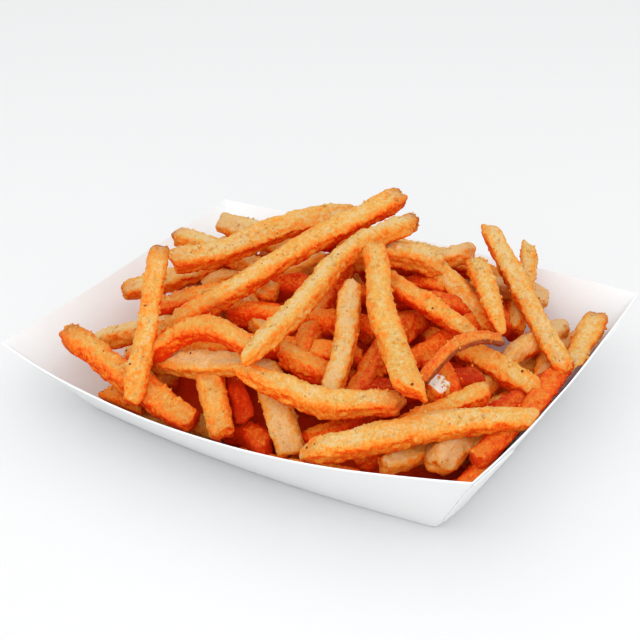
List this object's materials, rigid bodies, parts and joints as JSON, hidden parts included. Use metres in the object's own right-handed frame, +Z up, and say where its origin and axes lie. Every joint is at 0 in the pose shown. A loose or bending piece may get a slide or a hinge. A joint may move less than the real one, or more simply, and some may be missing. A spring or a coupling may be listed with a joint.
{
  "type": "tray of seasoned fries",
  "caption": "Open paperboard food tray with flared walls and pointed ears, heaped with seasoned coated fries.",
  "frame": {"origin": "on the table under the middle of the tray's base", "axes": "+Z up, X along the tray's long side, Y across it; the side seen most in the picture is -Y, its right end +X"},
  "size_m": [0.1746, 0.148, 0.0695],
  "materials": {
    "paperboard": "white uncoated paperboard, matte",
    "fried_potato": "golden orange fried coating with spice, rough and slightly oily"
  },
  "bodies": {
    "root": {"tray": "paperboard", "fries_heap": "fried_potato"}
  },
  "joints": []
}
